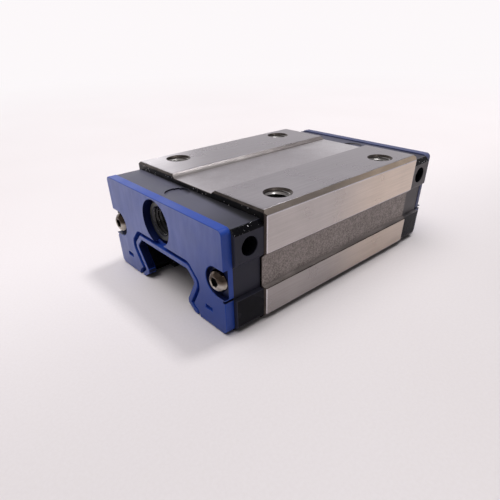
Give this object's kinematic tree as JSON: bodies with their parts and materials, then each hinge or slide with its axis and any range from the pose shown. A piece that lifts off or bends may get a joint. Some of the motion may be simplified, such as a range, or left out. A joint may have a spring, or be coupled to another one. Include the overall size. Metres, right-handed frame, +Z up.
{
  "type": "linear guide block",
  "caption": "Low-profile linear guide block: ground steel carriage on recirculating balls, black end caps, blue wiper seals, threaded top holes and an open grease port.",
  "frame": {"origin": "middle of the block's footprint, at its underside", "axes": "+X along the rail, from the pictured end towards the far end; +Y to the left seen from that end; +Z up through the mounting pads"},
  "size_m": [0.0652, 0.042, 0.022],
  "materials": {
    "carriage_steel": "ground pads and side bands, shot-blasted recess, dark as-formed chamfers",
    "cap_plastic": "fine moulded texture",
    "seal_rubber": "satin moulded rubber",
    "screw_steel": "bright plated",
    "ball_steel": "polished",
    "guide_plastic": "smooth moulded",
    "strip_plastic": "smooth moulded",
    "bottom_seal_rubber": "matt",
    "plug_steel": "blackened"
  },
  "bodies": {
    "block": {"carriage_body": "carriage_steel", "front_end_cap": "cap_plastic", "rear_end_cap": "cap_plastic", "front_end_seal": "seal_rubber", "rear_end_seal": "seal_rubber", "front_end_screws": "screw_steel", "rear_end_screws": "screw_steel", "front_left_return_guide": "guide_plastic", "front_right_return_guide": "guide_plastic", "rear_left_return_guide": "guide_plastic", "rear_right_return_guide": "guide_plastic", "upper_ball_strip": "strip_plastic", "left_side_ball_strip": "strip_plastic", "right_side_ball_strip": "strip_plastic", "left_lower_ball_strip": "strip_plastic", "right_lower_ball_strip": "strip_plastic", "left_bottom_seal": "bottom_seal_rubber", "right_bottom_seal": "bottom_seal_rubber", "rear_port_plug": "plug_steel"},
    "upper_left_load": {"upper_left_load_balls": "ball_steel"},
    "upper_left_return": {"upper_left_return_balls": "ball_steel"},
    "upper_left_front_turn": {"upper_left_front_turn_balls": "ball_steel"},
    "upper_left_rear_turn": {"upper_left_rear_turn_balls": "ball_steel"},
    "upper_right_load": {"upper_right_load_balls": "ball_steel"},
    "upper_right_return": {"upper_right_return_balls": "ball_steel"},
    "upper_right_front_turn": {"upper_right_front_turn_balls": "ball_steel"},
    "upper_right_rear_turn": {"upper_right_rear_turn_balls": "ball_steel"},
    "lower_left_load": {"lower_left_load_balls": "ball_steel"},
    "lower_left_return": {"lower_left_return_balls": "ball_steel"},
    "lower_left_front_turn": {"lower_left_front_turn_balls": "ball_steel"},
    "lower_left_rear_turn": {"lower_left_rear_turn_balls": "ball_steel"},
    "lower_right_load": {"lower_right_load_balls": "ball_steel"},
    "lower_right_return": {"lower_right_return_balls": "ball_steel"},
    "lower_right_front_turn": {"lower_right_front_turn_balls": "ball_steel"},
    "lower_right_rear_turn": {"lower_right_rear_turn_balls": "ball_steel"}
  },
  "joints": [
    {"name": "upper_left_load_travel", "type": "slide", "parent": "block", "child": "upper_left_load", "axis": [1, 0, 0], "range_m": [-0.00169, 0.00169]},
    {"name": "upper_left_return_travel", "type": "slide", "parent": "block", "child": "upper_left_return", "axis": [1, 0, 0], "range_m": [-0.0017, 0.0017]},
    {"name": "upper_left_front_turn_roll", "type": "hinge", "parent": "block", "child": "upper_left_front_turn", "pos_m": [-0.02375, 0.01173, 0.01063], "axis": [0, -0.7071, 0.7071], "range_deg": [-40, 40]},
    {"name": "upper_left_rear_turn_roll", "type": "hinge", "parent": "block", "child": "upper_left_rear_turn", "pos_m": [0.02375, 0.01173, 0.01063], "axis": [0, -0.7071, 0.7071], "range_deg": [-40, 40]},
    {"name": "upper_right_load_travel", "type": "slide", "parent": "block", "child": "upper_right_load", "axis": [1, 0, 0], "range_m": [-0.00169, 0.00169]},
    {"name": "upper_right_return_travel", "type": "slide", "parent": "block", "child": "upper_right_return", "axis": [1, 0, 0], "range_m": [-0.0017, 0.0017]},
    {"name": "upper_right_front_turn_roll", "type": "hinge", "parent": "block", "child": "upper_right_front_turn", "pos_m": [-0.02375, -0.01173, 0.01063], "axis": [0, -0.7071, -0.7071], "range_deg": [-40, 40]},
    {"name": "upper_right_rear_turn_roll", "type": "hinge", "parent": "block", "child": "upper_right_rear_turn", "pos_m": [0.02375, -0.01173, 0.01063], "axis": [0, -0.7071, -0.7071], "range_deg": [-40, 40]},
    {"name": "lower_left_load_travel", "type": "slide", "parent": "block", "child": "lower_left_load", "axis": [1, 0, 0], "range_m": [-0.00169, 0.00169]},
    {"name": "lower_left_return_travel", "type": "slide", "parent": "block", "child": "lower_left_return", "axis": [1, 0, 0], "range_m": [-0.0017, 0.0017]},
    {"name": "lower_left_front_turn_roll", "type": "hinge", "parent": "block", "child": "lower_left_front_turn", "pos_m": [-0.02375, 0.01241, 0.00467], "axis": [0, 0.1736, 0.9848], "range_deg": [-40, 40]},
    {"name": "lower_left_rear_turn_roll", "type": "hinge", "parent": "block", "child": "lower_left_rear_turn", "pos_m": [0.02375, 0.01241, 0.00467], "axis": [0, 0.1736, 0.9848], "range_deg": [-40, 40]},
    {"name": "lower_right_load_travel", "type": "slide", "parent": "block", "child": "lower_right_load", "axis": [1, 0, 0], "range_m": [-0.00169, 0.00169]},
    {"name": "lower_right_return_travel", "type": "slide", "parent": "block", "child": "lower_right_return", "axis": [1, 0, 0], "range_m": [-0.0017, 0.0017]},
    {"name": "lower_right_front_turn_roll", "type": "hinge", "parent": "block", "child": "lower_right_front_turn", "pos_m": [-0.02375, -0.01241, 0.00467], "axis": [0, 0.1736, -0.9848], "range_deg": [-40, 40]},
    {"name": "lower_right_rear_turn_roll", "type": "hinge", "parent": "block", "child": "lower_right_rear_turn", "pos_m": [0.02375, -0.01241, 0.00467], "axis": [0, 0.1736, -0.9848], "range_deg": [-40, 40]}
  ],
  "couplings": [
    {"joint": "upper_left_return_travel", "follows": "upper_left_load_travel", "ratio": -1},
    {"joint": "upper_left_front_turn_roll", "follows": "upper_left_load_travel", "rad_per_m": 408.14},
    {"joint": "upper_left_rear_turn_roll", "follows": "upper_left_load_travel", "rad_per_m": 408.14},
    {"joint": "upper_right_return_travel", "follows": "upper_right_load_travel", "ratio": -1},
    {"joint": "upper_right_front_turn_roll", "follows": "upper_right_load_travel", "rad_per_m": 408.14},
    {"joint": "upper_right_rear_turn_roll", "follows": "upper_right_load_travel", "rad_per_m": 408.14},
    {"joint": "lower_left_return_travel", "follows": "lower_left_load_travel", "ratio": -1},
    {"joint": "lower_left_front_turn_roll", "follows": "lower_left_load_travel", "rad_per_m": 408.14},
    {"joint": "lower_left_rear_turn_roll", "follows": "lower_left_load_travel", "rad_per_m": 408.14},
    {"joint": "lower_right_return_travel", "follows": "lower_right_load_travel", "ratio": -1},
    {"joint": "lower_right_front_turn_roll", "follows": "lower_right_load_travel", "rad_per_m": 408.14},
    {"joint": "lower_right_rear_turn_roll", "follows": "lower_right_load_travel", "rad_per_m": 408.14}
  ]
}
